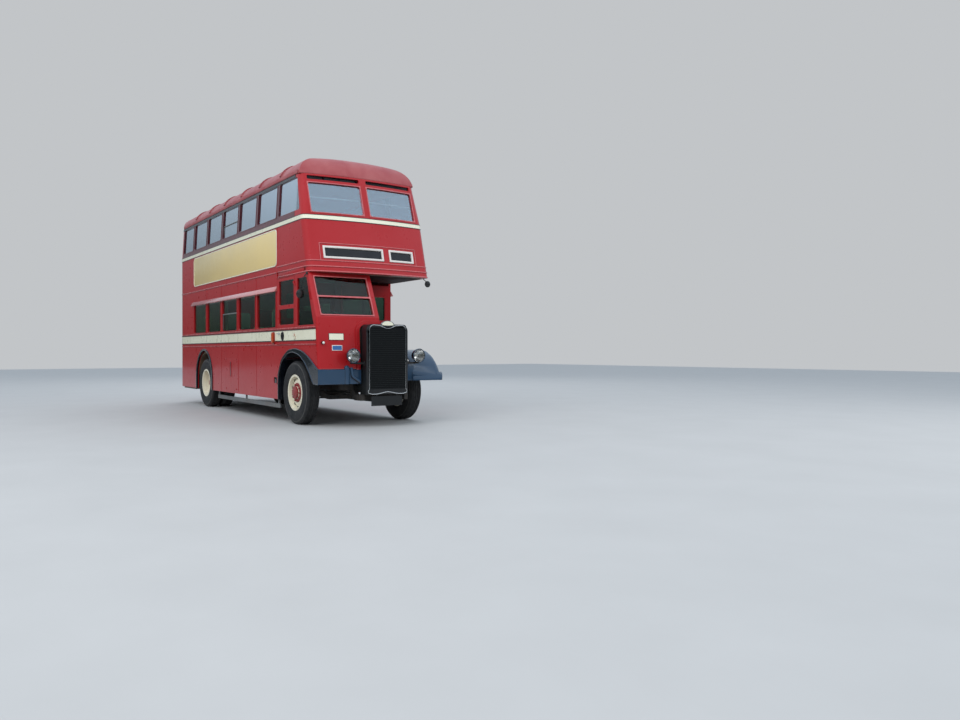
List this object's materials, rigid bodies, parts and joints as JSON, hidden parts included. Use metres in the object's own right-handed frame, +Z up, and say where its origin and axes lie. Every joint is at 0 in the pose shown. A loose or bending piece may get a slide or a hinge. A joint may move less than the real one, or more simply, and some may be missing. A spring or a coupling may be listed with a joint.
{
  "type": "double decker bus",
  "caption": "Half-cab double-decker bus with an open rear platform, turning wheels, steering, cab door, bonnet and emergency door.",
  "frame": {"origin": "on the ground below the middle of the bus's length and width", "axes": "+X forward, +Y to the nearside (left), +Z up"},
  "size_m": [8.196, 2.63, 4.5468],
  "materials": {
    "body_red": "gloss",
    "roof_red": "satin",
    "wing_black": "gloss",
    "chassis_black": "satin",
    "engine_grey": "satin",
    "wheel_cream": "gloss",
    "tyre": "matte",
    "glass": "clear",
    "radiator_black": "satin",
    "lamp_metal": "polished",
    "guard_grey": "satin",
    "floor_wood": "worn",
    "saloon_cream": "satin",
    "seat_cloth": "matte",
    "seat_leather": "satin",
    "frame_steel": "satin",
    "pole_white": "gloss",
    "stair_metal": "ribbed",
    "wheel_rim_black": "gloss",
    "plate_black": "satin"
  },
  "bodies": {
    "bus": {"cab_floor": "floor_wood", "cab_front": "body_red", "cab_glass": "glass", "cab_nearside": "body_red", "cab_offside": "body_red", "chassis_frame": "chassis_black", "driver_seat": "seat_leather", "driver_seat_box": "frame_steel", "engine": "engine_grey", "engine_valance": "wing_black", "exhaust": "frame_steel", "front_axle": "chassis_black", "front_bulkhead": "body_red", "fuel_tank": "chassis_black", "grab_poles": "pole_white", "headlamps": "lamp_metal", "leaf_springs": "chassis_black", "lifeguard_rails": "guard_grey", "lower_floor": "floor_wood", "lower_rear": "body_red", "lower_seats": "seat_cloth", "lower_side_nearside": "body_red", "lower_side_offside": "body_red", "mirrors": "wing_black", "number_plate": "plate_black", "platform_frame": "chassis_black", "radiator": "radiator_black", "rear_axle": "chassis_black", "rear_bulkhead": "saloon_cream", "roof": "roof_red", "saloon_glass": "glass", "seat_frames": "frame_steel", "staircase": "stair_metal", "steering_column": "chassis_black", "transmission": "engine_grey", "upper_floor": "floor_wood", "upper_front": "body_red", "upper_rear": "body_red", "upper_seats": "seat_cloth", "upper_side_nearside": "body_red", "upper_side_offside": "body_red", "wing_nearside": "wing_black", "wing_offside": "wing_black"},
    "steering_wheel": {"steering_wheel": "wheel_rim_black"},
    "knuckle_offside": {"knuckle_offside": "chassis_black"},
    "knuckle_nearside": {"knuckle_nearside": "chassis_black"},
    "track_rod": {"track_rod": "chassis_black"},
    "front_wheel_offside": {"tyre_front_offside": "tyre", "wheel_front_offside": "wheel_cream"},
    "front_wheel_nearside": {"tyre_front_nearside": "tyre", "wheel_front_nearside": "wheel_cream"},
    "rear_wheels_offside": {"tyres_rear_offside": "tyre", "wheels_rear_offside": "wheel_cream"},
    "rear_wheels_nearside": {"tyres_rear_nearside": "tyre", "wheels_rear_nearside": "wheel_cream"},
    "cab_door": {"cab_door": "body_red", "cab_door_glass": "glass"},
    "bonnet": {"bonnet": "wing_black"},
    "emergency_door": {"emergency_door": "body_red", "emergency_glass": "glass"}
  },
  "joints": [
    {"name": "steer_offside", "type": "hinge", "parent": "bus", "child": "knuckle_offside", "pos_m": [2.87, -0.8, 0.53], "axis": [0, 0, 1], "range_deg": [-35, 35]},
    {"name": "steer_nearside", "type": "hinge", "parent": "bus", "child": "knuckle_nearside", "pos_m": [2.87, 0.8, 0.53], "axis": [0, 0, 1], "range_deg": [-35, 35]},
    {"name": "track_rod_pivot", "type": "hinge", "parent": "knuckle_offside", "child": "track_rod", "pos_m": [2.66, -0.8, 0.417], "axis": [0, 0, 1], "range_deg": [-35, 35]},
    {"name": "steering_wheel_turn", "type": "hinge", "parent": "bus", "child": "steering_wheel", "pos_m": [3.2, -0.64, 1.77], "axis": [-0.408, -0.0521, 0.9115], "range_deg": [-700, 700]},
    {"name": "roll_front_offside", "type": "hinge", "parent": "knuckle_offside", "child": "front_wheel_offside", "pos_m": [2.87, -0.98, 0.53], "axis": [0, 1, 0], "continuous": true},
    {"name": "roll_front_nearside", "type": "hinge", "parent": "knuckle_nearside", "child": "front_wheel_nearside", "pos_m": [2.87, 0.98, 0.53], "axis": [0, 1, 0], "continuous": true},
    {"name": "roll_rear_offside", "type": "hinge", "parent": "bus", "child": "rear_wheels_offside", "pos_m": [-2.083, -0.845, 0.53], "axis": [0, 1, 0], "continuous": true},
    {"name": "roll_rear_nearside", "type": "hinge", "parent": "bus", "child": "rear_wheels_nearside", "pos_m": [-2.083, 0.845, 0.53], "axis": [0, 1, 0], "continuous": true},
    {"name": "cab_door_hinge", "type": "hinge", "parent": "bus", "child": "cab_door", "pos_m": [2.979, -1.151, 1.9], "axis": [0, 0, 1], "range_deg": [0, 80]},
    {"name": "bonnet_hinge", "type": "hinge", "parent": "bus", "child": "bonnet", "pos_m": [3, -0.011, 1.663], "axis": [1, 0, 0], "range_deg": [0, 75]},
    {"name": "emergency_door_hinge", "type": "hinge", "parent": "bus", "child": "emergency_door", "pos_m": [-4.098, -0.417, 3.3], "axis": [0, 0, 1], "range_deg": [0, 100]}
  ],
  "couplings": [
    {"joint": "steer_nearside", "follows": "steer_offside", "ratio": 1},
    {"joint": "track_rod_pivot", "follows": "steer_offside", "ratio": -1},
    {"joint": "steering_wheel_turn", "follows": "steer_offside", "ratio": 20}
  ]
}
